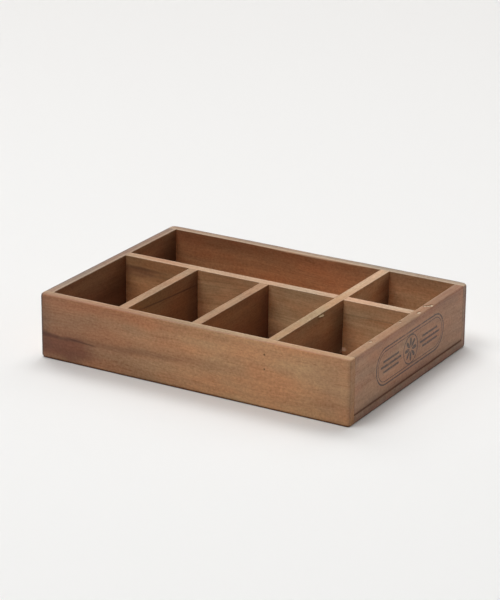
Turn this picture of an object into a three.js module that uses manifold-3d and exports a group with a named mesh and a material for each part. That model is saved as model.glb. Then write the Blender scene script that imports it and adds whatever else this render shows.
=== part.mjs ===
// Open wooden organizer box with six compartments: butt-jointed, bradded boards around a
// half-lapped pair of dividers, sanded over its outside once it is together.
// Millimetres, +Z up. The front board faces -Y, and the origin is the middle of the underside.
import * as THREE from 'three';
import { mergeVertices } from 'three/addons/utils/BufferGeometryUtils.js';
import Module from 'manifold-3d';

const wasm = await Module();
wasm.setup();

// Driving dimensions of the case
const LENGTH = 280;               // outside, along the front board
const DEPTH = 200;                // outside, front to back
const HEIGHT = 54;                // outside, underside to rim
const WALL = 8;                   // thickness of the long boards and the end boards
const DIVIDER = 8;                // thickness of the dividers
const BASE = 6.5;                 // thickness of the base panel

// Where the dividers stand: the middle of each one's thickness
const LONG_DIVIDER_Y = 17;
const CROSS_DIVIDER_X = 69;
const SHORT_DIVIDER_X = [-66, 1];

// Finish of the edges
const ARRIS = 0.375;              // eased edge on every board before it is fixed
const CORNER_RADIUS = 2;          // upright outer corners, sanded round
const RIM_RADIUS = 1;             // outer top and bottom edges, sanded round
const RIM_SEGMENTS = 3;
const CORNER_SEGMENTS = 2;

// Half-lap where the two long dividers cross
const LAP_GAP = 0.25;             // play on each side of the crossing board
const LAP_FLOOR_GAP = 0.15;       // each notch stops this far past the middle of the height

// Brads: each is punched below the surface and seats on the shoulder of its own hole
const BRAD_LENGTH = 22;
const BRAD_SHANK_R = 0.4;
const BRAD_HEAD_R = 0.6;
const BRAD_HEAD_HEIGHT = 0.75;
const BRAD_POINT = 1.5;
const BRAD_SET = 0.5;             // depth of the head's top below the surface
const BRAD_PLAY = 0.2;            // hole radius over brad radius
const BRAD_SIDES = 8;

// Where the brads go
const CORNER_BRAD_Z = [18, 42];
const DIVIDER_BRAD_Z = [32, 44];
const REAR_BRAD_Z = [20, 40];     // through the long divider and through the end boards
const BASE_BRAD_X = [-105, -52.5, 0, 52.5, 105];
const UNDER_BRAD_Y = [-60, -10, 60];
const CROSS_FRONT_BRAD_X = 66.5;  // this pair is driven off the middle of the cross divider

// Places that follow from those
const OUTER_X = LENGTH / 2;
const OUTER_Y = DEPTH / 2;
const INNER_Y = OUTER_Y - WALL;
const END_X = OUTER_X - WALL / 2;
const BOARD_Y = OUTER_Y - WALL / 2;
const INNER_HEIGHT = HEIGHT - BASE;
const BAY_FRONT_Y = -INNER_Y;
const BAY_REAR_Y = LONG_DIVIDER_Y - DIVIDER / 2;

// Stained wood of each board, and the blackened steel of the brads
const TONES = {
  front: 0x9a7453,
  back: 0x8c6648,
  end: 0x8f6b53,
  base: 0x86634a,
  longDivider: 0x977557,
  crossDivider: 0xa07c5b,
  shortDivider: 0x9a7657,
};
const BRAD_TONE = 0x3d352f;

const wood = (tone) => new THREE.MeshStandardMaterial({
  color: tone, roughness: 0.68, metalness: 0, flatShading: true,
});
const steel = () => new THREE.MeshStandardMaterial({
  color: BRAD_TONE, roughness: 0.5, metalness: 0.8, flatShading: true,
});

// A closed geometry as a solid: shared corners welded, collapsed triangles left out
function solidOf(geometry) {
  const bare = new THREE.BufferGeometry();
  bare.setAttribute('position', geometry.getAttribute('position'));
  bare.setIndex(geometry.getIndex());
  const welded = mergeVertices(bare);
  const corners = welded.getIndex().array;
  const kept = [];
  for (let i = 0; i < corners.length; i += 3) {
    const [a, b, c] = corners.subarray(i, i + 3);
    if (a !== b && b !== c && c !== a) kept.push(a, b, c);
  }
  return new wasm.Manifold(new wasm.Mesh({
    numProp: 3,
    vertProperties: welded.getAttribute('position').array,
    triVerts: new Uint32Array(kept),
  }));
}

function geometryOf(solid) {
  const mesh = solid.getMesh();
  const geometry = new THREE.BufferGeometry();
  geometry.setAttribute('position', new THREE.BufferAttribute(mesh.vertProperties, 3));
  geometry.setIndex(new THREE.BufferAttribute(mesh.triVerts, 1));
  geometry.computeVertexNormals();
  return geometry;
}

// A tool's solid as it lies in another mesh's own frame
function toolIn(mesh, tool) {
  const place = mesh.matrixWorld.clone().invert().multiply(tool.matrixWorld);
  return solidOf(tool.geometry.clone().applyMatrix4(place));
}

// Boards

// Side view of a board, its lower edge centred on the origin, with notches in either edge
function boardOutline(length, height, { below = [], above = [] } = {}) {
  const half = length / 2;
  const corners = [[-half, 0], ...below, [half, 0], [half, height], ...above, [-half, height]];
  return new THREE.Shape(corners.map(([x, z]) => new THREE.Vector2(x, z)));
}

// An outline given its thickness, with the edges of both faces eased
function easedSlab(outline, thickness) {
  return new THREE.ExtrudeGeometry(outline, {
    depth: thickness - 2 * ARRIS,
    steps: 1,
    bevelEnabled: true,
    bevelThickness: ARRIS,
    bevelSize: ARRIS,
    bevelOffset: -ARRIS,
    bevelSegments: 1,
  }).translate(0, 0, ARRIS);
}

// A board standing on edge along X, its thickness centred on the XZ plane
function plank(outline, thickness) {
  return easedSlab(outline, thickness).translate(0, 0, -thickness / 2).rotateX(Math.PI / 2);
}

function board(name, geometry, tone, x, y, z) {
  const mesh = new THREE.Mesh(geometry, wood(tone));
  mesh.name = name;
  mesh.position.set(x, y, z);
  return mesh;
}

// A board that runs front to back
function turned(mesh) {
  mesh.rotation.z = Math.PI / 2;
  return mesh;
}

// The long boards run the whole length and cover the ends of the end boards and the base
function longBoards() {
  const outline = boardOutline(LENGTH, HEIGHT);
  return [
    board('front_board', plank(outline, WALL), TONES.front, 0, -BOARD_Y, 0),
    board('back_board', plank(outline, WALL), TONES.back, 0, BOARD_Y, 0),
  ];
}

// The end boards stand on the base panel, between the long boards
function endBoards() {
  const outline = boardOutline(2 * INNER_Y, INNER_HEIGHT);
  return [
    turned(board('left_end_board', plank(outline, WALL), TONES.end, -END_X, 0, BASE)),
    turned(board('right_end_board', plank(outline, WALL), TONES.end, END_X, 0, BASE)),
  ];
}

// The base panel shows its two short edges under the end boards
function basePanel() {
  const outline = boardOutline(LENGTH, 2 * INNER_Y);
  return board('base_panel', easedSlab(outline, BASE), TONES.base, 0, -INNER_Y, 0);
}

// Notch that takes the crossing divider, from one edge of a board to half its height
function lapNotch(at, edge, floor) {
  const half = DIVIDER / 2 + LAP_GAP;
  return [[at - half, edge], [at - half, floor], [at + half, floor], [at + half, edge]];
}

// The cross divider drops over the long divider: its notch is below, and its top runs unbroken
function lappedDividers() {
  const middle = INNER_HEIGHT / 2;
  const longNotch = lapNotch(CROSS_DIVIDER_X, INNER_HEIGHT, middle - LAP_FLOOR_GAP).reverse();
  const crossNotch = lapNotch(LONG_DIVIDER_Y, 0, middle + LAP_FLOOR_GAP);
  const longOutline = boardOutline(LENGTH - 2 * WALL, INNER_HEIGHT, { above: longNotch });
  const crossOutline = boardOutline(2 * INNER_Y, INNER_HEIGHT, { below: crossNotch });
  const longBoard = plank(longOutline, DIVIDER);
  const crossBoard = plank(crossOutline, DIVIDER);
  return [
    board('long_divider', longBoard, TONES.longDivider, 0, LONG_DIVIDER_Y, BASE),
    turned(board('cross_divider', crossBoard, TONES.crossDivider, CROSS_DIVIDER_X, 0, BASE)),
  ];
}

// The short dividers part the front row, from the front board to the long divider
function shortDividers() {
  const outline = boardOutline(BAY_REAR_Y - BAY_FRONT_Y, INNER_HEIGHT);
  const middleY = (BAY_FRONT_Y + BAY_REAR_Y) / 2;
  return SHORT_DIVIDER_X.map((x, i) => {
    const geometry = plank(outline, DIVIDER);
    return turned(board(`short_divider_${i + 1}`, geometry, TONES.shortDivider, x, middleY, BASE));
  });
}

// The outside of the finished case, with its corners and edges sanded round
function sandedCase() {
  const x = OUTER_X - CORNER_RADIUS;
  const y = OUTER_Y - CORNER_RADIUS;
  const quarter = Math.PI / 2;
  const outline = new THREE.Shape();
  const centres = [[x, y], [-x, y], [-x, -y], [x, -y]];
  centres.forEach(([cx, cy], i) => {
    outline.absarc(cx, cy, CORNER_RADIUS, i * quarter, (i + 1) * quarter);
  });
  const geometry = new THREE.ExtrudeGeometry(outline, {
    depth: HEIGHT - 2 * RIM_RADIUS,
    steps: 1,
    curveSegments: CORNER_SEGMENTS,
    bevelEnabled: true,
    bevelThickness: RIM_RADIUS,
    bevelSize: RIM_RADIUS,
    bevelOffset: -RIM_RADIUS,
    bevelSegments: RIM_SEGMENTS,
  });
  return new THREE.Mesh(geometry.translate(0, 0, RIM_RADIUS));
}

// Brads

const lathe = (profile) => new THREE.LatheGeometry(
  profile.map(([r, y]) => new THREE.Vector2(r, y)),
  BRAD_SIDES,
);

// A brad along -Y, with the surface that it is driven through at y = 0
function bradShape() {
  const shoulder = -(BRAD_SET + BRAD_HEAD_HEIGHT);
  return lathe([
    [0, -BRAD_LENGTH],
    [BRAD_SHANK_R, BRAD_POINT - BRAD_LENGTH],
    [BRAD_SHANK_R, shoulder],
    [BRAD_HEAD_R, shoulder],
    [BRAD_HEAD_R, -BRAD_SET],
    [0, -BRAD_SET],
  ]);
}

// The hole that a brad leaves: loose round shank and head, with a shoulder under the head
function bradHole() {
  const shoulder = -(BRAD_SET + BRAD_HEAD_HEIGHT);
  const bottom = -(BRAD_LENGTH + BRAD_PLAY);
  const above = 1;
  return lathe([
    [0, bottom],
    [BRAD_SHANK_R + BRAD_PLAY, bottom],
    [BRAD_SHANK_R + BRAD_PLAY, shoulder],
    [BRAD_HEAD_R + BRAD_PLAY, shoulder],
    [BRAD_HEAD_R + BRAD_PLAY, above],
    [0, above],
  ]);
}

// Turns that bring a brad's head from +Y to the side that it is driven from
const HEAD_TURNS = {
  front: [Math.PI, 0, 0],
  back: [0, 0, 0],
  left: [0, 0, Math.PI / 2],
  right: [0, 0, -Math.PI / 2],
  under: [-Math.PI / 2, 0, 0],
};

function brad(name, side, x, y, z) {
  const mesh = new THREE.Mesh(bradShape(), steel());
  mesh.name = name;
  mesh.position.set(x, y, z);
  mesh.rotation.set(...HEAD_TURNS[side]);
  return mesh;
}

// Through the long boards: into the end boards at the corners, and into the base panel's edges
function caseBrads() {
  const brads = [];
  for (const [side, y] of [['front', -OUTER_Y], ['back', OUTER_Y]]) {
    for (const [end, x] of [['left', -END_X], ['right', END_X]]) {
      CORNER_BRAD_Z.forEach((z, i) => {
        brads.push(brad(`${side}_${end}_corner_brad_${i + 1}`, side, x, y, z));
      });
    }
    BASE_BRAD_X.forEach((x, i) => {
      brads.push(brad(`${side}_base_brad_${i + 1}`, side, x, y, BASE / 2));
    });
  }
  return brads;
}

// Through the case and the long divider into the ends of the dividers
function dividerBrads() {
  const rear = LONG_DIVIDER_Y + DIVIDER / 2;
  const rows = [
    ['front_cross', 'front', CROSS_FRONT_BRAD_X, -OUTER_Y, DIVIDER_BRAD_Z],
    ['back_cross', 'back', CROSS_DIVIDER_X, OUTER_Y, DIVIDER_BRAD_Z],
    ['left_long', 'left', -OUTER_X, LONG_DIVIDER_Y, REAR_BRAD_Z],
    ['right_long', 'right', OUTER_X, LONG_DIVIDER_Y, REAR_BRAD_Z],
  ];
  SHORT_DIVIDER_X.forEach((x, i) => {
    rows.push([`front_short_${i + 1}`, 'front', x, -OUTER_Y, DIVIDER_BRAD_Z]);
    rows.push([`rear_short_${i + 1}`, 'back', x, rear, REAR_BRAD_Z]);
  });
  return rows.flatMap(([name, side, x, y, heights]) => (
    heights.map((z, i) => brad(`${name}_brad_${i + 1}`, side, x, y, z))
  ));
}

// Up through the base panel into the end boards
function underBrads() {
  return [['left', -END_X], ['right', END_X]].flatMap(([end, x]) => (
    UNDER_BRAD_Y.map((y, i) => brad(`under_${end}_brad_${i + 1}`, 'under', x, y, 0))
  ));
}

// Assembly

const caseGroup = new THREE.Group();
caseGroup.add(...longBoards(), ...endBoards(), basePanel());

const dividerGroup = new THREE.Group();
dividerGroup.add(...lappedDividers(), ...shortDividers());

const bradGroup = new THREE.Group();
bradGroup.add(...caseBrads(), ...dividerBrads(), ...underBrads());

const organizerBox = new THREE.Group();
organizerBox.add(caseGroup, dividerGroup, bradGroup);
organizerBox.updateMatrixWorld(true);

// Every brad's hole, standing where the brad does
const holes = bradGroup.children.map((placed) => {
  const hole = new THREE.Mesh(bradHole());
  hole.matrixWorld.copy(placed.matrixWorld);
  return hole;
});

// The case boards are sanded together, then every board is drilled for the brads that meet it
const outside = sandedCase();
for (const piece of [...caseGroup.children, ...dividerGroup.children]) {
  let solid = solidOf(piece.geometry);
  if (piece.parent === caseGroup) {
    solid = solid.intersect(toolIn(piece, outside));
  }
  for (const hole of holes) {
    solid = solid.subtract(toolIn(piece, hole));
  }
  piece.geometry = geometryOf(solid);
}

export default organizerBox;
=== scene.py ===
import math
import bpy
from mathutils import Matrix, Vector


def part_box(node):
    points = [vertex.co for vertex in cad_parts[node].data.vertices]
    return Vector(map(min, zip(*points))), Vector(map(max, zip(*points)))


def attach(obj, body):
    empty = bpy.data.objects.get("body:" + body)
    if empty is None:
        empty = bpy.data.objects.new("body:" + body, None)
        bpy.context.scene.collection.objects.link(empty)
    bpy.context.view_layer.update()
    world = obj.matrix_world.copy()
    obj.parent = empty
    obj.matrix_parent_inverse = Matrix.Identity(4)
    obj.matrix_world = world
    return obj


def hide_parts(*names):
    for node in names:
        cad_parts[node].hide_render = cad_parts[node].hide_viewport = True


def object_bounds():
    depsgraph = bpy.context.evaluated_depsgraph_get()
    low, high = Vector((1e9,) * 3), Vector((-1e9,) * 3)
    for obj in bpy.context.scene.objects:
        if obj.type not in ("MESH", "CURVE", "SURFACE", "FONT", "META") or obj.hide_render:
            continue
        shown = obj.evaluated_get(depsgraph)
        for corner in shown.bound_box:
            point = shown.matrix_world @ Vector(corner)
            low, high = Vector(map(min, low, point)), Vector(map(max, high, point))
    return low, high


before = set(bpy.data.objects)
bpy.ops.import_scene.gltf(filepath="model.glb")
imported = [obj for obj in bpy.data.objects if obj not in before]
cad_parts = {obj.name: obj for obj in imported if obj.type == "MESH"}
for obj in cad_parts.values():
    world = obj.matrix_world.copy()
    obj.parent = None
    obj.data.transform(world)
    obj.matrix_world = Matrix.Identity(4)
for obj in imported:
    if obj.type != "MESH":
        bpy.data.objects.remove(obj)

from types import SimpleNamespace

import bpy
from mathutils import Matrix, Vector

cadLow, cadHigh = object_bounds()
mm = 0.001
scene = bpy.context.scene
print("frame loaded:", len(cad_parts), "nodes")


# a node socket that takes Python arithmetic: every operator adds one Math node
class Wire:
    def __init__(self, tree, socket=None):
        self.tree = tree
        self.socket = socket

    # any node: its settings are set first, then the values or links of its sockets
    def node(self, kind, settings=None, sockets=None, out=0):
        made = self.tree.nodes.new(kind)
        for name, value in (settings or {}).items():
            setattr(made, name, value)
        for key, value in (sockets or {}).items():
            for item in value if isinstance(value, list) else [value]:
                if isinstance(item, Wire):
                    self.tree.links.new(item.socket, made.inputs[key])
                else:
                    made.inputs[key].default_value = item
        return Wire(self.tree, made.outputs[out])

    def also(self, out):   # another output of the same node
        return Wire(self.tree, self.socket.node.outputs[out])

    def math(self, operation, *others):
        return self.node("ShaderNodeMath", {"operation": operation}, dict(enumerate((self, *others))))

    def flipped(self, operation, first):
        return self.node("ShaderNodeMath", {"operation": operation}, {0: first, 1: self})

    def __add__(self, other):
        return self.math("ADD", other)

    def __radd__(self, other):
        return self.math("ADD", other)

    def __sub__(self, other):
        return self.math("SUBTRACT", other)

    def __rsub__(self, other):
        return self.flipped("SUBTRACT", other)

    def __mul__(self, other):
        return self.math("MULTIPLY", other)

    def __rmul__(self, other):
        return self.math("MULTIPLY", other)

    def __truediv__(self, other):
        return self.math("DIVIDE", other)

    def __rtruediv__(self, other):
        return self.flipped("DIVIDE", other)

    def __neg__(self):
        return self.math("MULTIPLY", -1)

    def __gt__(self, other):
        return self.math("GREATER_THAN", other)

    def __abs__(self):
        return self.math("ABSOLUTE")

    def atLeast(self, other):
        return self.math("MAXIMUM", other)

    def atMost(self, other):
        return self.math("MINIMUM", other)

    def root(self):
        return self.math("SQRT")

    # smooth step from 0 at low to 1 at high, or between other ends
    def fade(self, low, high, start=0.0, end=1.0):
        ends = {0: self, 1: low, 2: high, 3: start, 4: end}
        return self.node("ShaderNodeMapRange", {"interpolation_type": "SMOOTHSTEP"}, ends)

    def split(self):
        x = self.node("ShaderNodeSeparateXYZ", None, {0: self})
        return [x, x.also(1), x.also(2)]

    def join(self, x, y, z):
        return self.node("ShaderNodeCombineXYZ", None, {0: x, 1: y, 2: z})

    # colours go through Mix, which keeps them in colour: inputs 6 and 7, output 2
    def mixed(self, other, amount, blend="MIX"):
        kept = {"data_type": "RGBA", "blend_type": blend}
        return self.node("ShaderNodeMix", kept, {0: amount, 6: self, 7: other}, 2)

    def between(self, first, second):   # this share of the way from one colour to the other
        return self.node("ShaderNodeMix", {"data_type": "RGBA"}, {0: self, 6: first, 7: second}, 2)


def newFinish(name):   # a material with an empty tree, and a wire to build it with
    finish = bpy.data.materials.new(name)
    finish.use_nodes = True
    finish.node_tree.nodes.clear()
    return finish, Wire(finish.node_tree)


def coated(w, sockets):   # the shader that ends every finish
    coat = w.node("ShaderNodeBsdfPrincipled", None, sockets)
    output = w.tree.nodes.new("ShaderNodeOutputMaterial")
    w.tree.links.new(coat.socket, output.inputs["Surface"])


# camera, fitted to the corners of the case: distances from the middle of the underside
cameraPlan = {
    "azimuth": 30.209,
    "elevation": 20.232,
    "roll": 0.448,
    "aside": -3.844 * mm,
    "above": 41.148 * mm,
    "away": 2053.04 * mm,
    "focalPixels": 2542.9,
    "framePixels": 600,   # the long side of the picture
    "sensor": 36.0,
    "clip": (0.05, 100.0),
}


def makeCamera(plan):
    turn, tilt, lean = (math.radians(plan[k]) for k in ("azimuth", "elevation", "roll"))
    back = Vector((math.sin(turn) * math.cos(tilt), -math.cos(turn) * math.cos(tilt), math.sin(tilt)))
    level = Vector((0, 0, 1)).cross(back).normalized()
    upright = back.cross(level)
    right = math.cos(lean) * level + math.sin(lean) * upright
    up = math.cos(lean) * upright - math.sin(lean) * level
    data = bpy.data.cameras.new("camera")
    data.sensor_width = plan["sensor"]
    data.lens = plan["focalPixels"] * plan["sensor"] / plan["framePixels"]
    data.clip_start, data.clip_end = plan["clip"]
    camera = bpy.data.objects.new("camera", data)
    camera.matrix_world = Matrix((right, up, back)).transposed().to_4x4()
    camera.location = right * plan["aside"] + up * plan["above"] + back * plan["away"]
    scene.collection.objects.link(camera)
    scene.camera = camera


makeCamera(cameraPlan)
print("camera set")

# studio: pale floor and soft boxes, placed by turn round the box and height in degrees
studioPlan = {
    # the floor's colour is painted lighter near the camera and darker far off: painted light falloff
    "floorNear": (0.888, 0.887, 0.883, 1),
    "floorFar": (0.800, 0.792, 0.785, 1),
    "floorFade": (-0.3, 1.5),   # metres behind the box, along the view
    "floorSize": 60.0,
    "floorRoughness": 0.9,
    "floorGloss": 0.1,
    "domeTone": (1.0, 0.995, 0.985, 1),
    "domeStrength": 0.02,
    "boxSize": 3.0,
    "boxAway": 6.0,
    "boxTone": (1.0, 0.995, 0.985),
    "boxes": {
        "highFront": {"turn": 0, "height": 65, "power": 64.0},
        "highFrontLeft": {"turn": 315, "height": 65, "power": 116.0},
        "highBackLeft": {"turn": 225, "height": 65, "power": 83.0},
        "highBack": {"turn": 180, "height": 65, "power": 82.0},
        "midBack": {"turn": 185, "height": 42, "power": 31.0},
        "midLeft": {"turn": 240, "height": 42, "power": 50.0},
        "midRight": {"turn": 85, "height": 50, "power": 9.0},
        "lowBackRight": {"turn": 135, "height": 20, "power": 27.5},
    },
}


def makeDome(plan):
    world = bpy.data.worlds.new("studio")
    world.use_nodes = True
    sky = world.node_tree.nodes["Background"]
    sky.inputs["Color"].default_value = plan["domeTone"]
    sky.inputs["Strength"].default_value = plan["domeStrength"]
    scene.world = world


def makeFloor(plan):
    half = plan["floorSize"] / 2
    corners = [(-half, -half, 0), (half, -half, 0), (half, half, 0), (-half, half, 0)]
    mesh = bpy.data.meshes.new("floor")
    mesh.from_pydata(corners, [], [(0, 1, 2, 3)])
    floor = bpy.data.objects.new("floor", mesh)
    scene.collection.objects.link(floor)
    paper, w = newFinish("paleFloor")
    turn = math.radians(cameraPlan["azimuth"])
    x, y = w.node("ShaderNodeTexCoord", out="Object").split()[:2]
    # painted light: the floor is lighter near the camera and darker far off
    away = (y * math.cos(turn) - x * math.sin(turn)).fade(*plan["floorFade"])
    coated(w, {"Base Color": away.between(plan["floorNear"], plan["floorFar"]),
               "Roughness": plan["floorRoughness"], "Specular IOR Level": plan["floorGloss"]})
    mesh.materials.append(paper)


def makeSoftBoxes(plan):
    for name, box in plan["boxes"].items():
        turn, height = math.radians(box["turn"]), math.radians(box["height"])
        level = math.cos(height)
        toBox = Vector((math.sin(turn) * level, -math.cos(turn) * level, math.sin(height)))
        data = bpy.data.lights.new(name, "AREA")
        data.shape = "DISK"
        data.size = plan["boxSize"]
        data.energy = box["power"]
        data.color = plan["boxTone"]
        light = bpy.data.objects.new(name, data)
        light.location = toBox * plan["boxAway"]
        light.rotation_euler = (-toBox).to_track_quat("-Z", "Y").to_euler()
        scene.collection.objects.link(light)


makeDome(studioPlan)
makeFloor(studioPlan)
makeSoftBoxes(studioPlan)
scene.view_settings.view_transform = "Standard"
scene.view_settings.look = "None"
print("studio set:", len(studioPlan["boxes"]), "soft boxes")

# every board comes from one tree: a block with its cells crowded to the edges, eased all round,
# sanded with the case it stands in, then punched for the brads and nicked where it is chipped
plankRule = {
    "edgeCells": 6,
    "edgeZone": 2.6 * mm,     # the crowded cells reach this far in
    "arrisNoise": 70.0,       # bumps per metre along the eased edges
    "arrisDetail": 3.0,
    "rimNoise": 0.3,          # how much of that the outer edges keep
    "wearFade": (0.2, 1.0),   # shares of the reach over which a rubbed top gets sharp again
    "cornerSanding": 1.5,     # top and foot edges are this much rounder at the upright corners
    "crispCorner": 0.45,      # the front right corner has lost less of its edge
    "punchSides": 14,
    "nickRings": 4,
    "nickNoise": 2.3,
    "nickDetail": 4.0,
    "nickRough": 0.35,
    "crease": math.radians(38),
    "tiny": 1e-7,
}
plankInputs = [
    ("Geometry", "NodeSocketGeometry"),
    ("Low", "NodeSocketVector"),
    ("High", "NodeSocketVector"),
    ("Cells X", "NodeSocketInt"),
    ("Cells Y", "NodeSocketInt"),
    ("Cells Z", "NodeSocketInt"),
    ("Arris", "NodeSocketFloat"),
    ("Uneven", "NodeSocketFloat"),
    ("Wear", "NodeSocketFloat"),
    ("Wear Middle", "NodeSocketFloat"),
    ("Wear Reach", "NodeSocketFloat"),
    ("Case Low", "NodeSocketVector"),
    ("Case High", "NodeSocketVector"),
    ("Corner Radius", "NodeSocketFloat"),
    ("Rim Radius", "NodeSocketFloat"),
    ("Foot Radius", "NodeSocketFloat"),
    ("Punch Direction", "NodeSocketVector"),
    ("Seed", "NodeSocketFloat"),
    ("Finish", "NodeSocketMaterial"),
]
# what a point of the modifier's own mesh stands for: the first three are cut away, splinters stay on
pointKinds = {"punches": 0, "chips": 1, "notches": 2, "splinters": 3}


def crowded(p, half, cells):   # p runs from -1 to 1
    edge, zone = plankRule["edgeCells"], plankRule["edgeZone"]
    number = (p + 1) * 0.5 * cells
    low = (edge - number).atLeast(0) / edge
    high = (number - (cells - edge)).atLeast(0) / edge
    inner = number.atLeast(edge).atMost(cells - edge)
    share = (inner - edge) / (cells - 2 * edge) * 2 - 1
    return share * (half - zone) + (high * (2 - high) - low * (2 - low)) * zone


def eased(spot, half, radius):
    core = [spot[i].atLeast(radius - half[i]).atMost(half[i] - radius) for i in range(3)]
    over = [spot[i] - core[i] for i in range(3)]
    reach = (over[0] * over[0] + over[1] * over[1] + over[2] * over[2]).root()
    pull = radius / reach.atLeast(plankRule["tiny"])
    return [core[i] + over[i] * pull for i in range(3)]


def sanded(spot, caseMiddle, caseHalf, corner, topRim, footRim):
    x, y, z = (spot[i] - caseMiddle[i] for i in range(3))
    corner = corner * (1 - (x > 0) * (-y > 0) * plankRule["crispCorner"])
    coreX = x.atLeast(corner - caseHalf[0]).atMost(caseHalf[0] - corner)
    coreY = y.atLeast(corner - caseHalf[1]).atMost(caseHalf[1] - corner)
    outX, outY = x - coreX, y - coreY
    reach = (outX * outX + outY * outY).root().atLeast(plankRule["tiny"])
    turned = abs(outX * outY) / (reach * reach) * 2   # 0 on the sides, 1 half way round a corner
    rim = (footRim + (topRim - footRim) * (z > 0)) * (1 + turned * plankRule["cornerSanding"])
    rim = rim.atMost(corner)
    held = reach.atMost(corner)                    # upright corners
    overSide = (held - (corner - rim)).atLeast(0)
    level = abs(z)
    overEdge = (level - (caseHalf[2] - rim)).atLeast(0)
    over = (overSide * overSide + overEdge * overEdge).root().atLeast(plankRule["tiny"])
    pull = (rim / over).atMost(1)                  # top and bottom edges
    newReach = held - overSide + overSide * pull
    newLevel = level - overEdge + overEdge * pull
    moved = [coreX + outX / reach * newReach, coreY + outY / reach * newReach, z.math("SIGN") * newLevel]
    return [moved[i] + caseMiddle[i] for i in range(3)]


def middleAndHalf(low, high):
    low, high = low.split(), high.split()
    return [(high[i] + low[i]) * 0.5 for i in range(3)], [(high[i] - low[i]) * 0.5 for i in range(3)]


def shapedBlock(w, given):   # the board before anything is cut
    middle, half = middleAndHalf(given["Low"], given["High"])
    caseMiddle, caseHalf = middleAndHalf(given["Case Low"], given["Case High"])
    cells = [given["Cells " + axis] for axis in "XYZ"]
    counts = {"Vertices " + axis: cells[i] + 1 for i, axis in enumerate("XYZ")}
    block = w.node("GeometryNodeMeshCube", None, {"Size": (2, 2, 2), **counts})
    p = w.node("GeometryNodeInputPosition").split()
    flat = [crowded(p[i], half[i], cells[i]) for i in range(3)]
    spot = [flat[i] + middle[i] for i in range(3)]
    noise = {"Vector": w.join(spot[0] + given["Seed"], spot[1], spot[2]),
             "Scale": plankRule["arrisNoise"], "Detail": plankRule["arrisDetail"]}
    swell = (w.node("ShaderNodeTexNoise", None, noise) - 0.5) * 2 * given["Uneven"] + 1
    off = abs(spot[0] - given["Wear Middle"]) / given["Wear Reach"]
    wear = given["Wear"] * (1 - off.fade(*plankRule["wearFade"])) * (flat[2] > 0)   # on the top alone
    softened = eased(flat, half, (given["Arris"] + wear) * swell)
    placed = [softened[i] + middle[i] for i in range(3)]
    wavy = 1 + (swell - 1) * plankRule["rimNoise"]
    smooth = sanded(placed, caseMiddle, caseHalf, given["Corner Radius"],
                    given["Rim Radius"] * wavy, given["Foot Radius"] * wavy)
    return w.node("GeometryNodeSetPosition", None, {"Geometry": block, "Position": w.join(*smooth)})


def shapesOnPoints(w, given):   # one instance on each point, by its kind and reach
    kind = w.node("GeometryNodeInputNamedAttribute", {"data_type": "INT"}, {"Name": "kind"})
    reach = w.node("GeometryNodeInputNamedAttribute", {"data_type": "FLOAT_VECTOR"}, {"Name": "reach"})
    turn = w.node("FunctionNodeAlignRotationToVector", {"axis": "Z"}, {"Vector": given["Punch Direction"]})
    still = w.node("FunctionNodeAlignRotationToVector", {"axis": "Z"}, {"Vector": (0.0, 0.0, 1.0)})
    punch = w.node("GeometryNodeMeshCylinder", None, {
        "Vertices": plankRule["punchSides"], "Radius": 1.0, "Depth": 2.0})
    ball = w.node("GeometryNodeMeshIcoSphere", None, {
        "Radius": 1.0, "Subdivisions": plankRule["nickRings"]})
    rough = {"Scale": plankRule["nickNoise"], "Detail": plankRule["nickDetail"]}
    bite = w.node("ShaderNodeTexNoise", None, rough) - 0.5
    outward = {0: w.node("GeometryNodeInputNormal"), 3: bite * (2 * plankRule["nickRough"])}
    push = w.node("ShaderNodeVectorMath", {"operation": "SCALE"}, outward)
    nick = w.node("GeometryNodeSetPosition", None, {"Geometry": ball, "Offset": push})
    notch = w.node("GeometryNodeMeshCube", None, {"Size": (2, 2, 2)})
    shapes = {"punches": (punch, turn), "chips": (nick, still),
              "notches": (notch, still), "splinters": (nick, still)}
    made = {}
    for name, (shape, facing) in shapes.items():
        made[name] = w.node("GeometryNodeInstanceOnPoints", None, {
            "Points": given["Geometry"], "Selection": kind.math("COMPARE", pointKinds[name], 0.1),
            "Instance": shape, "Rotation": facing, "Scale": reach})
    return made


def makePlankTree():
    tree = bpy.data.node_groups.new("plank", "GeometryNodeTree")
    for name, kind in plankInputs:
        tree.interface.new_socket(name, in_out="INPUT", socket_type=kind)
    tree.interface.new_socket("Geometry", in_out="OUTPUT", socket_type="NodeSocketGeometry")
    given = {s.name: Wire(tree, s) for s in tree.nodes.new("NodeGroupInput").outputs if s.name}
    w = Wire(tree)
    block = shapedBlock(w, given)
    shapes = shapesOnPoints(w, given)
    cutters = [shapes["punches"], shapes["chips"], shapes["notches"]]
    cut = w.node("GeometryNodeMeshBoolean", {"operation": "DIFFERENCE", "solver": "EXACT"},
                 {"Mesh 1": block, "Mesh 2": cutters})
    whole = w.node("GeometryNodeJoinGeometry", None, {"Geometry": [cut, shapes["splinters"]]})
    soft = w.node("GeometryNodeSetShadeSmooth", {"domain": "FACE"}, {
        "Geometry": whole, "Shade Smooth": True})
    angle = w.node("GeometryNodeInputMeshEdgeAngle")
    crisp = w.node("GeometryNodeSetShadeSmooth", {"domain": "EDGE"}, {
        "Geometry": soft, "Selection": angle > plankRule["crease"], "Shade Smooth": False})
    real = w.node("GeometryNodeRealizeInstances", None, {"Geometry": crisp})
    dressed = w.node("GeometryNodeSetMaterial", None, {"Geometry": real, "Material": given["Finish"]})
    tree.links.new(dressed.socket, tree.nodes.new("NodeGroupOutput").inputs[0])
    return tree


plankTree = makePlankTree()
plankSocket = {s.name: s.identifier for s in plankTree.interface.items_tree if s.in_out == "INPUT"}
print("plank tree built:", len(plankTree.nodes), "nodes")
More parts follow.
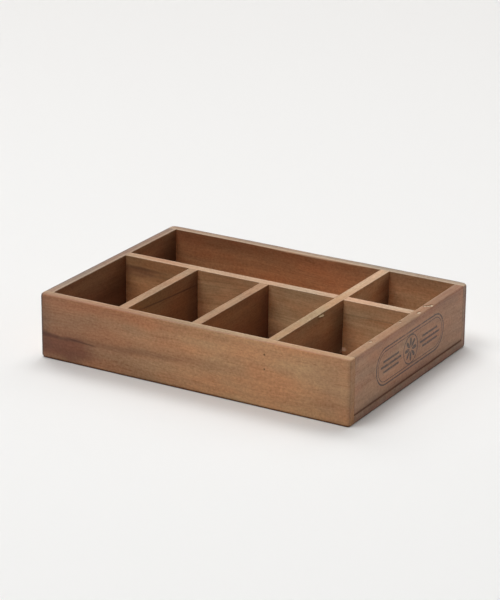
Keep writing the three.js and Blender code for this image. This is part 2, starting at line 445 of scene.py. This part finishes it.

# tones of the wood, of what use has left on it, and of the shade painted on its rims, corners and foot
woodPlan = {
    "pale": (0.565, 0.345, 0.198, 1),
    "brown": (0.325, 0.160, 0.082, 1),
    "warm": (1.06, 0.965, 0.91, 1),
    "cool": (0.94, 1.025, 1.05, 1),
    "heart": (0.115, 0.055, 0.034, 1),
    "raw": (0.78, 0.62, 0.43, 1),
    "bare": (0.66, 0.45, 0.30, 1),
    "torn": (0.80, 0.67, 0.50, 1),
    "splinter": (0.27, 0.175, 0.085, 1),
    "greyRimShade": (0.215, 0.215, 0.21, 1),     # painted shade: grey on the outer rims
    # painted shade on the upright corners
    "cornerShade": (0.076, 0.056, 0.048, 1),
    "ironStain": (0.10, 0.055, 0.035, 1),
    # painted contact shadow along the foot
    "footShadow": (0.072, 0.024, 0.014, 1),
    "endGrain": (0.74, 0.71, 0.68, 1),
    "plain": (1, 1, 1, 1),
    "ior": 1.46,
    "gloss": 0.4,
    "bump": 0.25,
    "bumpDepth": 0.1 * mm,
}
# depths in mm under a board's faces: where a layer of the finish starts and where it ends
depthPlan = {
    "indoors": (4.0, 6.0),      # from the outer side to the side in the bay
    "topFace": (0.05, 0.7),
    "endFace": (0.1, 0.4),
    "bayCorner": (0.5, 9.0),
    "rubAndHighlight": (0.3, 3.2),
}


# directions and depths of one board, in mm from its middle, for all the layers of its finish
def boardSpace(w, plan):
    low, high = (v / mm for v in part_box(plan["node"]))
    half = [float(v) for v in (high - low) / 2]
    board = SimpleNamespace(wire=w, plan=plan, middle=(low + high) / 2)
    place = w.node("ShaderNodeTexCoord", out="Object")
    centred = {"Vector": place, "Location": -board.middle, "Scale": (1 / mm,) * 3}
    x, y, z = w.node("ShaderNodeMapping", None, centred).split()
    board.along, board.up, board.deep = {"x": (x, z, y), "y": (y, z, x), "flat": (x, y, z)}[plan["grain"]]
    gaps = [half[i] - abs(q) for i, q in enumerate((x, y, z))]   # under the three pairs of faces
    board.nearest = gaps[0].atMost(gaps[1]).atMost(gaps[2])
    board.endGap = gaps[1 if plan["grain"] == "y" else 0]
    board.topGap, board.lowGap = half[2] - z, half[2] + z
    board.top = 1 - board.topGap.fade(*depthPlan["topFace"])
    if "outer" in plan:   # the case's outer side, counted from the middle of the board
        side, axis = plan["outer"]
        thick = half["xyz".index(axis)]
        board.outGap = thick - {"x": x, "y": y}[axis] * side
        board.bareGap = 2 * thick - board.outGap         # under the inner side, whose top edge is rubbed pale and carries a painted highlight
        board.indoors = board.outGap.fade(*depthPlan["indoors"])
    else:
        board.bareGap = gaps[1 if plan["grain"] == "x" else 0]
        board.indoors = 1.0
    return board


# the grain: rates in turns per mm along and across it, detail and offset of the noise
grainPlan = {
    "bend": (0.007, 0.02, 2.0, 3.0),
    "pore": (0.13, 2.1, 1.0, 71.0),
    "hue": (0.018, 0.05, 2.0, 81.0),
    "seedAlong": 17.3,
    "seedUp": 5.1,
    "wander": 16.0,          # mm by which the grain strays
    "slope": 0.02,
    "middleShade": 0.42,
    "figure": {              # rate along, rate across, detail, share in the shade
        "band": (0.006, 0.14, 3.0, 0.80),
        "strand": (0.020, 0.75, 4.0, 0.66),
        "hair": (0.09, 2.6, 2.0, 0.45),
        "mottle": (0.42, 0.55, 3.0, 1.05),
        "fleck": (0.75, 0.90, 2.0, 0.60),
        "blotch": (0.035, 0.05, 3.0, 0.60),
    },
    "figureOffset": 11.0,    # of its first part, and the step to the next
    "figureStep": 10.0,
    "poreFade": (0.63, 0.74),
    "poreShare": 0.30,
    "hueFade": (0.3, 0.7),
    "roughness": 0.58,
    "roughShare": {"strand": 0.2, "pore": 0.1},
    "relief": {"strand": 0.5, "hair": 0.4, "mottle": 0.2, "pore": 0.5},
}


def cloud(board, rates, level=None):   # soft noise, drawn out along the grain
    alongRate, acrossRate, detail, offset = rates
    height = level or board.up
    seedAlong, seedUp = (board.plan["seed"] * grainPlan[key] for key in ("seedAlong", "seedUp"))
    spot = board.wire.join(board.along * alongRate + (seedAlong + offset), height * acrossRate + seedUp,
                           board.deep * acrossRate + offset)
    return board.wire.node("ShaderNodeTexNoise", None, {"Vector": spot, "Scale": 1.0, "Detail": detail})


def tone(board, key):   # one colour, or two that change over along the board
    given = board.plan.get(key, woodPlan["plain"])
    if isinstance(given, tuple):
        return given
    return board.along.fade(given["from"], given["to"]).between(given["start"], given["end"])


# the grain wanders, so bands and fibres follow a bent line
def grainTone(board):
    board.bend = (cloud(board, grainPlan["bend"]) - 0.5) * grainPlan["wander"]
    lean = board.up + board.bend + board.along * grainPlan["slope"]
    shade = grainPlan["middleShade"]
    board.figure = {}
    for number, (part, usual) in enumerate(grainPlan["figure"].items()):
        *rates, share = board.plan.get("figure", {}).get(part, usual)
        offset = grainPlan["figureOffset"] + grainPlan["figureStep"] * number
        board.figure[part] = cloud(board, (*rates, offset), lean) - 0.5
        shade = board.figure[part] * share + shade
    board.pore = cloud(board, grainPlan["pore"], lean).fade(*grainPlan["poreFade"])
    shade = shade + board.pore * grainPlan["poreShare"]
    base = shade.atLeast(0).atMost(1).between(woodPlan["pale"], woodPlan["brown"])
    hue = cloud(board, grainPlan["hue"]).fade(*grainPlan["hueFade"])
    return base.mixed(hue.between(woodPlan["warm"], woodPlan["cool"]), 1.0, "MULTIPLY")


def grainRoughness(board):
    share = grainPlan["roughShare"]
    return grainPlan["roughness"] + board.figure["strand"] * share["strand"] + board.pore * share["pore"]


def grainBump(board):
    figure, relief = board.figure, grainPlan["relief"]
    height = (figure["strand"] * relief["strand"] + figure["hair"] * relief["hair"]
              + figure["mottle"] * relief["mottle"] - board.pore * relief["pore"])
    return board.wire.node("ShaderNodeBump", None, {
        "Strength": woodPlan["bump"], "Distance": woodPlan["bumpDepth"], "Height": height})


markPlan = {
    "streakBend": 0.2,       # how much of the grain's bend a dark line follows
    "streakCore": 0.1,       # share of its width that is full
    "patchBlotch": 1.6,      # how ragged the patches of stain are
    "patchStrand": 0.8,
    "patchFade": (0.35, 1.1),
}


def darkLines(board, base):
    for streak in board.plan.get("streaks", []):
        start, end, soft, width = (streak[key] for key in ("from", "to", "soft", "width"))
        bent = board.up + board.bend * markPlan["streakBend"]
        line = bent - board.along * streak["rise"] - streak["level"]
        line = line + board.figure["blotch"] * streak.get("stray", 0.0)
        body = 1 - abs(line).fade(width * markPlan["streakCore"], width)
        ends = board.along.fade(start - soft, start + soft)
        ends = ends * (1 - board.along.fade(end - soft, end + soft))
        dark = body * ends * streak["strength"] * (1 + board.figure["strand"])
        base = base.mixed(woodPlan["heart"], dark)
    return base


def tonePatches(board, base):   # places that are lighter or darker than the rest
    for patch in board.plan.get("patches", []):
        aside = (board.along - patch["along"]) / patch["reach"][0]
        above = (board.up - patch["up"]) / patch["reach"][1]
        far = (aside * aside + above * above).root() + board.figure["blotch"] * markPlan["patchBlotch"]
        far = far + board.figure["strand"] * markPlan["patchStrand"]
        base = base.mixed(patch["tone"], 1 - far.fade(*markPlan["patchFade"]), "MULTIPLY")
    return base


def bayTones(board, base):   # painted light and shade on the sides in the bays: it changes with depth and towards the corners
    plan = board.plan
    if "outer" in plan:
        # painted light and shade on the side in the bay, in a tone given per board
        base = base.mixed(tone(board, "insideLight"), board.indoors, "MULTIPLY")
    if "sink" in plan:
        # painted light and shade that grow with depth below the top, darker on some boards and lighter on
        # others
        shadedDeep = board.topGap.fade(plan["sink"]["from"], plan["sink"]["to"]) * board.indoors
        base = base.mixed(plan["sink"]["tone"], shadedDeep, "MULTIPLY")
    for corner in plan.get("corners", []):
        # painted shade towards the corners of the bay
        near = 1 - abs(board.along - corner["along"]).fade(0.0, corner["reach"])
        near = near * board.topGap.fade(*depthPlan["bayCorner"]) * board.indoors
        base = base.mixed(corner["tone"], near, "MULTIPLY")
    ends = 1 - board.endGap.fade(*depthPlan["endFace"])
    return base.mixed(plan.get("endGrain", woodPlan["endGrain"]), ends, "MULTIPLY")


# what hands and the table have done to the edges, and the shade painted on the outer rims, upright corners
# and foot: depths in mm
wearAndShadePlan = {
    "edgeNoise": (0.06, 0.05, 3.0, 91.0),   # noise, as for the grain
    "raggedNoise": 2.0,                 # mm by which the dark edges come and go
    "raggedMottle": 1.2,
    "bareSkin": (0.05, 0.14),          # rubbed away this far at a worn rim
    "bareDepth": (1.4, 2.4),
    "bareShare": 0.7,
    "rimEdge": (0.4, 3.0),
    "rimLevel": (0.08, 0.35),          # the rounding of the rim stays free of the painted grey
    "greyShadePatches": (0.2, 0.6, 0.55, 1.0),
    "upright": (0.8, 3.8),
    "uprightEnds": (-1.0, 1.0),
    "footLine": 0.7,
    "footSide": (1.5, 3.0),
    "footShadowShare": 0.8,
    "footDull": 0.4,
    "dividerSkin": (0.03, 0.09),
    "dividerPatches": (0.40, 0.62),
    "dividerShare": 0.5,
    "chipSoft": 0.15,
    "chipDepth": (2.5, 3.5),
    "chipEnds": (4.0, 6.0),            # the rounded corners aren't chips
    "chipShare": 0.9,
    "splinter": (-0.25, -0.05),        # splinters stand out of the board's own box
    "ironRing": (0.6, 1.5),
    "ironShare": 0.25,
}


def topTones(board, base, topWithLight):
    plan = board.plan
    # the tops take their own colour, with painted light and sheen
    base = base.mixed(topWithLight, board.top)
    # a pale top edge: partly rubbed wear, partly a painted highlight
    rubAndHighlight = board.top * (1 - board.bareGap.fade(*depthPlan["rubAndHighlight"])) * plan.get("rubAndHighlight", 0.0)
    base = base.mixed(woodPlan["raw"], rubAndHighlight)
    if "wear" in plan:
        shallow = 1 - board.topGap.fade(*wearAndShadePlan["bareDepth"])
        bare = board.nearest.fade(*wearAndShadePlan["bareSkin"]) * shallow * board.indoors
        base = base.mixed(woodPlan["bare"], bare * wearAndShadePlan["bareShare"])
    return base


def outerEdges(board, base, edgeNoise):   # painted shade on the outer rims, upright corners and foot; the foot's mask is also handed back
    plan = board.plan
    ragged = (edgeNoise - 0.5) * wearAndShadePlan["raggedNoise"] + board.figure["mottle"] * wearAndShadePlan["raggedMottle"]
    # painted shade: the outer part of each rim takes a darker tone given per board
    rimEdge = (1 - (board.outGap + ragged).fade(*wearAndShadePlan["rimEdge"])) * board.top
    base = base.mixed(tone(board, "rimShade"), rimEdge, "MULTIPLY")
    level = 1 - board.topGap.fade(*wearAndShadePlan["rimLevel"])
    # painted shade: grey patches on the flat top of the outer rims
    greyShade = rimEdge * level * edgeNoise.fade(*wearAndShadePlan["greyShadePatches"])
    base = base.mixed(woodPlan["greyRimShade"], greyShade * plan["greyRimShade"])
    # painted shade: dark bands down the upright corners, as strong at each end as the board gives
    nearEnd = 1 - (board.endGap + ragged).fade(*wearAndShadePlan["upright"])
    nearSide = 1 - (board.outGap + ragged).fade(*wearAndShadePlan["upright"])
    strength = board.along.fade(*wearAndShadePlan["uprightEnds"], *plan.get("cornerShade", (0.0, 0.0)))
    base = base.mixed(woodPlan["cornerShade"], nearEnd * nearSide * strength)
    # painted contact shadow: a dark band along the foot of the outer sides
    foot = 1 - board.lowGap.fade(wearAndShadePlan["footLine"], plan["footHeight"])
    foot = foot * (1 - board.outGap.fade(*wearAndShadePlan["footSide"]))
    return base.mixed(woodPlan["footShadow"], foot * plan.get("footShadowShare", wearAndShadePlan["footShadowShare"])), foot


def dividerEdges(board, base, edgeNoise):   # pale where the top edges are rubbed
    rubbed = board.top * board.nearest.fade(*wearAndShadePlan["dividerSkin"])
    rubbed = rubbed * edgeNoise.fade(*wearAndShadePlan["dividerPatches"])
    return base.mixed(woodPlan["raw"], rubbed * wearAndShadePlan["dividerShare"])


def damageTones(board, base):
    plan = board.plan
    if "chips" in plan:
        broken = board.nearest.fade(plan["chipDepth"], plan["chipDepth"] + wearAndShadePlan["chipSoft"])
        broken = broken * (1 - board.topGap.fade(*wearAndShadePlan["chipDepth"]))
        broken = broken * board.endGap.fade(*wearAndShadePlan["chipEnds"])
        base = base.mixed(woodPlan["torn"], broken * wearAndShadePlan["chipShare"])
    if "splinters" in plan:
        base = base.mixed(woodPlan["splinter"], 1 - board.nearest.fade(*wearAndShadePlan["splinter"]))
    for bradName in plan.get("open", []):        # rust has run into the wood round an open brad
        bradLow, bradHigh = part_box(bradName)
        spot = (bradLow + bradHigh) / 2 / mm - board.middle
        aside, above = board.along - spot["xy".index(plan["grain"])], board.up - spot[2]
        ring = 1 - (aside * aside + above * above).root().fade(*wearAndShadePlan["ironRing"])
        base = base.mixed(woodPlan["ironStain"], ring * wearAndShadePlan["ironShare"])
    return base


# a plain ink mark on the right end: a capsule frame, a rosette in a ring and rules, in mm
stampPlan = {
    "ink": (0.042, 0.050, 0.060, 1),
    "strength": 0.80,
    "smudge": 0.22,
    "frameRun": 42.0,      # half of the straight part
    "frameRadius": 15.0,
    "frameLine": 0.62,     # half width
    "innerGap": 2.6,
    "innerLine": 0.34,
    "lineSoft": (0.15, 0.2),
    "ring": 11.8,
    "ringLine": 0.5,
    "petals": 8,
    "petalReach": 9.8,
    "petalWaist": 0.25,    # share of the reach between two petals
    "petalSoft": (-0.2, 0.3),
    "petalParting": (1.0, 2.0),
    "eye": 1.6,
    "rules": [(-4.2, 33.0, 13.0), (0.0, 33.0, 17.0), (4.2, 33.0, 13.0)],   # up, middle, half length
    "ruleLine": 0.9,
    "ruleSoft": 0.2,
    "onFace": (0.3, 0.6),
    "noise": {             # as for the grain, and where it fades in
        "speck": ((0.8, 0.8, 3.0, 101.0), (0.26, 0.46)),
        "faint": ((0.09, 0.1, 2.0, 111.0), (0.12, 0.42)),
        "smear": ((0.05, 0.09, 4.0, 121.0), (0.42, 0.72)),
        "smearGrain": ((0.5, 0.6, 2.0, 131.0), (0.25, 0.75)),
    },
}


def stampMask(along, up, wear):
    plan = stampPlan
    side = abs(along)
    inside, outside = plan["lineSoft"]

    def line(distance, width):
        return 1 - abs(distance).fade(width - inside, width + outside)

    past = (side - plan["frameRun"]).atLeast(0)
    edge = (past * past + up * up).root() - plan["frameRadius"]
    mask = line(edge, plan["frameLine"]).atLeast(line(edge + plan["innerGap"], plan["innerLine"]))
    radius = (along * along + up * up).root()
    mask = mask.atLeast(line(radius - plan["ring"], plan["ringLine"]))
    lobe = abs((up.math("ARCTAN2", along) * (plan["petals"] / 2)).math("COSINE"))
    tip = plan["petalReach"] * (plan["petalWaist"] + lobe * (1 - plan["petalWaist"]))
    petal = (tip - radius).fade(*plan["petalSoft"]) * (radius - plan["eye"]).fade(*plan["petalSoft"])
    mask = mask.atLeast(petal * (lobe * radius).fade(*plan["petalParting"]))
    for ruleUp, middle, half in plan["rules"]:
        run = 1 - abs(side - middle).fade(half - plan["ruleSoft"], half + plan["ruleSoft"])
        mask = mask.atLeast(run * line(up - ruleUp, plan["ruleLine"]))
    return mask * wear * plan["strength"]


def inkMark(board, base):
    noise = {name: cloud(board, rates).fade(*ends) for name, (rates, ends) in stampPlan["noise"].items()}
    onFace = 1 - board.outGap.fade(*stampPlan["onFace"])
    smudge = noise["smear"] * noise["smearGrain"] * onFace
    base = base.mixed(stampPlan["ink"], smudge * stampPlan["smudge"])
    wear = noise["speck"] * noise["faint"] * onFace
    return base.mixed(stampPlan["ink"], stampMask(board.along, board.up, wear))


def woodFinish(name, plan):   # the layers, from the grain up
    finish, w = newFinish(name)
    board = boardSpace(w, plan)
    base = grainTone(board)
    rough = grainRoughness(board)
    # the tops: the grain times a tone with painted light and sheen, given per board
    topWithLight = base.mixed(tone(board, "topToneAndLight"), 1.0, "MULTIPLY")
    base = darkLines(board, base)
    base = tonePatches(board, base)
    # each board's stain, whose tones and gradients also carry painted light and shade
    base = base.mixed(tone(board, "stainAndLight"), 1.0, "MULTIPLY")
    base = bayTones(board, base)
    base = topTones(board, base, topWithLight)
    edgeNoise = cloud(board, wearAndShadePlan["edgeNoise"])
    if "outer" in plan:
        base, foot = outerEdges(board, base, edgeNoise)
        rough = rough + foot * wearAndShadePlan["footDull"]
    else:
        base = dividerEdges(board, base, edgeNoise)
    base = damageTones(board, base)
    if plan.get("stamp"):
        base = inkMark(board, base)
    coated(w, {"Base Color": base, "Roughness": rough, "Normal": grainBump(board),
               "IOR": woodPlan["ior"], "Specular IOR Level": woodPlan["gloss"]})
    return finish


# one entry for each board: where its brads are driven from, what is cut away, grain, stain and painted
# light and shade;
# lengths of the grain, stain and painted light are in mm from the board's middle, cuts in mm from the
# box's own
boardPlan = {
    "frontBoard": {
        "node": "front_board", "slot": "front_wood", "grain": "x", "seed": 1.0,
        "brads": "front_", "punch": (0, -1, 0),
        "outer": (-1, "y"), "greyRimShade": 0.05, "cornerShade": (0.95, 0.15), "footHeight": 2.3,
        "endGrain": (0.80, 0.78, 0.72, 1), "rubAndHighlight": 0.26, "rimShade": (0.90, 0.70, 0.62, 1),
        "open": ("front_cross_brad_1", "front_cross_brad_2"),
        "stainAndLight": {"from": -150, "to": 60,
                  "start": (0.82, 0.69, 0.645, 1), "end": (1.27, 1.145, 0.985, 1)},
        "topToneAndLight": {"from": -130, "to": 60,
                     "start": (0.80, 0.82, 0.89, 1), "end": (0.99, 1.08, 1.11, 1)},
        "streaks": [
            {"from": -160, "to": -106, "soft": 14, "level": -11.8, "rise": -0.040,
             "width": 3.0, "strength": 0.5, "stray": 4.0},
            {"from": -112, "to": -87, "soft": 4, "level": -14.5, "rise": -0.070,
             "width": 1.1, "strength": 0.6},
            {"from": -100, "to": 0, "soft": 34, "level": -1.6, "rise": 0.058,
             "width": 4.4, "strength": 0.3, "stray": 6.0},
        ],
        "patches": [
            {"along": -129, "up": -14, "reach": (42, 15), "tone": (0.60, 0.49, 0.52, 1)},
            {"along": -40, "up": 22, "reach": (95, 7), "tone": (1.0, 0.88, 0.82, 1)},
            {"along": -141, "up": 4, "reach": (15, 40), "tone": (0.80, 0.82, 0.86, 1)},
            {"along": 0, "up": -2, "reach": (170, 6), "tone": (0.91, 0.89, 0.88, 1)},
            {"along": 132, "up": 2, "reach": (30, 50), "tone": (0.87, 0.85, 0.87, 1)},
        ],
    },
    "backBoard": {
        "node": "back_board", "slot": "back_wood", "grain": "x", "seed": 2.0,
        "brads": "back_", "punch": (0, 1, 0),
        "outer": (1, "y"), "greyRimShade": 0.75, "cornerShade": (0.7, 0.95), "footHeight": 1.8,
        "stainAndLight": (0.92, 0.82, 0.80, 1), "endGrain": (0.54, 0.54, 0.64, 1),
        "rubAndHighlight": 0.36, "rimShade": (0.72, 0.76, 0.84, 1),
        "wear": {"round": 1.6 * mm, "middle": 1.0 * mm, "reach": 78.0 * mm},
        "insideLight": {"from": 30, "to": 100,
                       "start": (0.96, 0.90, 0.82, 1), "end": (1.34, 1.46, 1.46, 1)},
        "sink": {"from": 4, "to": 26, "tone": (1.19, 1.24, 1.25, 1)},
        "topToneAndLight": (0.84, 1.0, 1.28, 1),
        "patches": [
            {"along": -85, "up": 23, "reach": (75, 7), "tone": (0.84, 0.79, 0.77, 1)},
            {"along": 30, "up": 6, "reach": (46, 34), "tone": (1.17, 1.14, 1.16, 1)},
        ],
    },
    "leftEndBoard": {
        "node": "left_end_board", "slot": "end_wood", "grain": "y", "seed": 3.0,
        "brads": "left_", "punch": (-1, 0, 0),
        "outer": (-1, "x"), "greyRimShade": 0.6, "footHeight": 2.8, "arris": 0.5 * mm,
        "rubAndHighlight": 0.22, "rimShade": (0.68, 0.70, 0.78, 1),
        "stainAndLight": (1.0, 0.93, 0.95, 1),
        "insideLight": (0.78, 0.745, 0.665, 1),
        "sink": {"from": 3, "to": 30, "tone": (0.45, 0.45, 0.50, 1)},
        "corners": [
            {"along": 13.0, "reach": 34.0, "tone": (0.84, 0.80, 0.80, 1)},
            {"along": 92.0, "reach": 44.0, "tone": (0.54, 0.54, 0.57, 1)},
        ],
        "patches": [{"along": 45, "up": 23, "reach": (55, 7), "tone": (0.84, 0.97, 1.0, 1)}],
        "topToneAndLight": {"from": -90, "to": -50,
                     "start": (0.76, 0.84, 1.06, 1), "end": (0.62, 0.71, 0.94, 1)},
    },
    "rightEndBoard": {
        "node": "right_end_board", "slot": "end_wood", "grain": "y", "seed": 4.0, "stamp": True,
        "brads": "right_", "punch": (1, 0, 0),
        "outer": (1, "x"), "greyRimShade": 0.15, "footHeight": 2.8, "arris": 0.5 * mm,
        "chipDepth": 0.48, "rubAndHighlight": 0.16,
        "stainAndLight": {"from": -90, "to": 90,
                  "start": (0.99, 0.885, 0.88, 1), "end": (0.93, 0.815, 0.835, 1)},
        "topToneAndLight": {"from": 10, "to": 70,
                     "start": (0.80, 0.77, 0.78, 1), "end": (0.67, 0.61, 0.66, 1)},
        "patches": [
            {"along": 0, "up": -24, "reach": (130, 8), "tone": (0.82, 0.80, 0.84, 1)},
            {"along": 0, "up": 22, "reach": (130, 5), "tone": (0.92, 0.90, 0.92, 1)},
        ],
        "chips": [
            {"at": (134.4, 33.9, 54.4), "reach": (1.5, 2.3, 1.6)},
            {"at": (136.3, 35.7, 54.4), "reach": (1.5, 2.3, 1.6)},
            {"at": (138.0, 37.8, 54.4), "reach": (1.8, 2.8, 1.9)},
            {"at": (136.9, 18.8, 54.4), "reach": (1.6, 3.0, 1.6)},
            {"at": (133.9, -7.7, 54.4), "reach": (1.3, 2.2, 1.6)},
            {"at": (134.3, -56.6, 54.4), "reach": (1.4, 2.4, 1.5)},
        ],
    },
    "basePanel": {
        "node": "base_panel", "slot": "base_wood", "grain": "flat", "seed": 5.0,
        "brads": "under_", "punch": (0, 0, -1),
        "outer": (1, "x"), "greyRimShade": 0.0, "footHeight": 1.4, "footShadowShare": 0.35, "arris": 0.5 * mm,
        "stainAndLight": (1.04, 1.03, 1.24, 1), "topToneAndLight": (0.88, 0.88, 0.95, 1),
    },
    "longDivider": {
        "node": "long_divider", "slot": "divider_wood", "grain": "x", "seed": 6.0, "rubAndHighlight": 0.14,
        "brads": "rear_", "punch": (0, 1, 0),
        "figure": {"strand": (0.012, 0.38, 4.0, 0.95), "mottle": (0.42, 0.55, 3.0, 0.65)},
        "stainAndLight": {"from": -130, "to": 110,
                  "start": (1.26, 1.22, 1.07, 1), "end": (1.66, 1.89, 1.95, 1)},
        "topToneAndLight": {"from": -120, "to": 90,
                     "start": (1.05, 1.11, 1.24, 1), "end": (1.25, 1.42, 1.69, 1)},
        "notches": [{"at": (69.0, 17.0, 54.0), "reach": (4.25, 8.0, 23.9)}],
        "streaks": [
            {"from": -132, "to": -92, "soft": 14, "level": 12.5, "rise": -0.02,
             "width": 2.4, "strength": 0.5},
            {"from": -120, "to": -70, "soft": 16, "level": 7.5, "rise": -0.03,
             "width": 1.8, "strength": 0.3},
            {"from": 70, "to": 124, "soft": 10, "level": 12.6, "rise": 0.0,
             "width": 0.9, "strength": 0.3},
        ],
        "patches": [
            {"along": -70, "up": -8, "reach": (84, 24), "tone": (1.17, 1.16, 1.18, 1)},
            {"along": -122, "up": 12, "reach": (24, 6), "tone": (0.74, 0.69, 0.72, 1)},
            {"along": 24, "up": -24, "reach": (48, 14), "tone": (0.82, 0.80, 0.84, 1)},
            # a small pale spot low by the joint of the two dividers
            {"along": 73.5, "up": -18, "reach": (3.2, 2.0), "tone": (1.8, 2.1, 2.9, 1)},
        ],
    },
    "crossDivider": {
        "node": "cross_divider", "slot": "divider_wood", "grain": "y", "seed": 7.0, "rubAndHighlight": 0.08,
        "stainAndLight": {"from": 0, "to": 40,
                  "start": (1.11, 1.23, 1.20, 1), "end": (1.41, 1.56, 1.57, 1)},
        "topToneAndLight": {"from": -20, "to": 70,
                     "start": (0.98, 1.06, 1.04, 1), "end": (1.24, 1.40, 1.60, 1)},
        "sink": {"from": 4, "to": 34, "tone": (0.55, 0.52, 0.56, 1)},
        "corners": [
            {"along": 13.0, "reach": 30.0, "tone": (0.55, 0.57, 0.62, 1)},
            {"along": 92.0, "reach": 30.0, "tone": (0.45, 0.42, 0.46, 1)},
        ],
        "splinters": [{"at": (73.2, -24.3, 52.2), "reach": (1.9, 4.2, 0.6)}],
        # a small pale spot low by the joint of the two dividers
        "patches": [{"along": 13, "up": -19, "reach": (5.0, 2.2), "tone": (2.4, 2.8, 3.6, 1)}],
        "notches": [{"at": (69.0, 17.0, 6.5), "reach": (8.0, 4.25, 23.9)}],
    },
    "shortDivider1": {
        "node": "short_divider_1", "slot": "divider_wood", "grain": "y", "seed": 8.0,
        "stainAndLight": {"from": -40, "to": 30,
                  "start": (0.96, 0.92, 0.70, 1), "end": (0.80, 0.73, 0.63, 1)},
        "topToneAndLight": (0.90, 0.95, 1.01, 1),
        "sink": {"from": 4, "to": 36, "tone": (0.80, 0.74, 0.74, 1)},
        "corners": [{"along": 52.0, "reach": 26.0, "tone": (0.62, 0.63, 0.76, 1)}],
        "streaks": [
            {"from": -30, "to": 46, "soft": 12, "level": 14.2, "rise": -0.07,
             "width": 1.1, "strength": 0.7},
        ],
    },
    "shortDivider2": {
        "node": "short_divider_2", "slot": "divider_wood", "grain": "y", "seed": 9.0,
        "stainAndLight": {"from": -40, "to": 30,
                  "start": (0.91, 0.79, 0.60, 1), "end": (0.84, 0.72, 0.60, 1)},
        "topToneAndLight": (0.87, 0.89, 0.92, 1),
        "sink": {"from": 4, "to": 36, "tone": (0.62, 0.58, 0.62, 1)},
        "corners": [{"along": 52.0, "reach": 26.0, "tone": (0.64, 0.57, 0.68, 1)}],
    },
}
boardRule = {
    "cell": 5.0 * mm,
    "arris": 0.22 * mm,
    "uneven": 0.5,
    "noWear": {"round": 0.0, "middle": 0.0, "reach": 1.0},
    "corner": 3.0 * mm,
    "rim": 1.2 * mm,
    "foot": 1.1 * mm,
    "holeRadius": 0.66 * mm,
    "openSink": 0.5 * mm,       # brads left open show their heads deep in the hole
    "filledSink": 0.12 * mm,    # the rest are filled almost level
}


def boardPoints(plan):   # place, kind and reach of everything that is cut out or stands out
    points, kinds, reaches = [], [], []
    out = Vector(plan.get("punch", (0, 0, 0)))
    low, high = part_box(plan["node"])
    for name in sorted(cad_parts):
        if "_brad_" not in name or not name.startswith(plan.get("brads", "none")):
            continue
        bradLow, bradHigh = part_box(name)
        spot = (bradLow + bradHigh) / 2
        for i in range(3):
            if out[i]:
                spot[i] = high[i] if out[i] > 0 else low[i]
        sink = boardRule["openSink" if name in plan.get("open", []) else "filledSink"]
        points.append(spot)
        kinds.append(pointKinds["punches"])
        reaches.append((boardRule["holeRadius"], boardRule["holeRadius"], sink))
    for kind in ("chips", "notches", "splinters"):
        for entry in plan.get(kind, []):
            points.append(Vector(entry["at"]) * mm)
            kinds.append(pointKinds[kind])
            reaches.append(Vector(entry["reach"]) * mm)
    return points, kinds, reaches


def pointMesh(name, plan):
    points, kinds, reaches = boardPoints(plan)
    mesh = bpy.data.meshes.new(name + "Points")
    mesh.from_pydata(points, [], [])
    mesh.attributes.new("kind", "INT", "POINT").data.foreach_set("value", kinds)
    flatReaches = [v for reach in reaches for v in reach]
    mesh.attributes.new("reach", "FLOAT_VECTOR", "POINT").data.foreach_set("vector", flatReaches)
    return mesh


def plankValues(name, plan):   # what the tree is given for one board
    low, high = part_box(plan["node"])
    inner = (high - low) - Vector((1, 1, 1)) * (2 * plankRule["edgeZone"])
    cells = [2 * plankRule["edgeCells"] + max(1, round(v / boardRule["cell"])) for v in inner]
    wear = plan.get("wear", boardRule["noWear"])
    return {
        "Low": low, "High": high, "Cells X": cells[0], "Cells Y": cells[1], "Cells Z": cells[2],
        "Arris": plan.get("arris", boardRule["arris"]), "Uneven": boardRule["uneven"],
        "Wear": wear["round"], "Wear Middle": wear["middle"], "Wear Reach": wear["reach"],
        "Case Low": cadLow, "Case High": cadHigh, "Corner Radius": boardRule["corner"],
        "Rim Radius": boardRule["rim"], "Foot Radius": boardRule["foot"],
        "Punch Direction": Vector(plan.get("punch", (0, 0, 1))), "Seed": plan["seed"],
        "Finish": woodFinish(name + "Wood", plan),
    }


def makeBoard(name, plan):
    mesh = pointMesh(name, plan)
    piece = bpy.data.objects.new(name, mesh)
    scene.collection.objects.link(piece)
    modifier = piece.modifiers.new("plank", "NODES")
    modifier.node_group = plankTree
    for socketName, value in plankValues(name, plan).items():
        modifier[plankSocket[socketName]] = value
    depsgraph = bpy.context.evaluated_depsgraph_get()
    made = bpy.data.meshes.new_from_object(piece.evaluated_get(depsgraph), depsgraph=depsgraph)
    piece.modifiers.remove(modifier)
    made.name = name
    piece.data = made
    bpy.data.meshes.remove(mesh)
    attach(piece, "root")
    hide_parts(plan["node"])
    print(name, "made:", len(made.polygons), "faces")


for boardName, boardEntry in boardPlan.items():
    makeBoard(boardName, boardEntry)

# brads keep their CAD shape and get blackened steel
steelPlan = {
    "dark": (0.018, 0.015, 0.013, 1),
    "rust": (0.10, 0.045, 0.022, 1),
    "spotRate": 1400.0,       # turns of the noise per metre
    "spotDetail": 3.0,
    "spotFade": (0.48, 0.66),
    "roughness": 0.5,
    "rustRough": 0.3,
}


def steelFinish():
    finish, w = newFinish("bradSteel")
    place = w.node("ShaderNodeTexCoord", out="Object")
    spots = w.node("ShaderNodeTexNoise", None, {
        "Vector": place, "Scale": steelPlan["spotRate"], "Detail": steelPlan["spotDetail"]})
    rust = spots.fade(*steelPlan["spotFade"])
    coated(w, {"Base Color": rust.between(steelPlan["dark"], steelPlan["rust"]), "Metallic": 1 - rust,
               "Roughness": steelPlan["roughness"] + rust * steelPlan["rustRough"]})
    return finish


bradSteel = steelFinish()
bradCount = 0
for nodeName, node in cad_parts.items():
    if "_brad_" in nodeName:
        node.data.materials.clear()
        node.data.materials.append(bradSteel)
        bradCount += 1
print("brads finished:", bradCount)
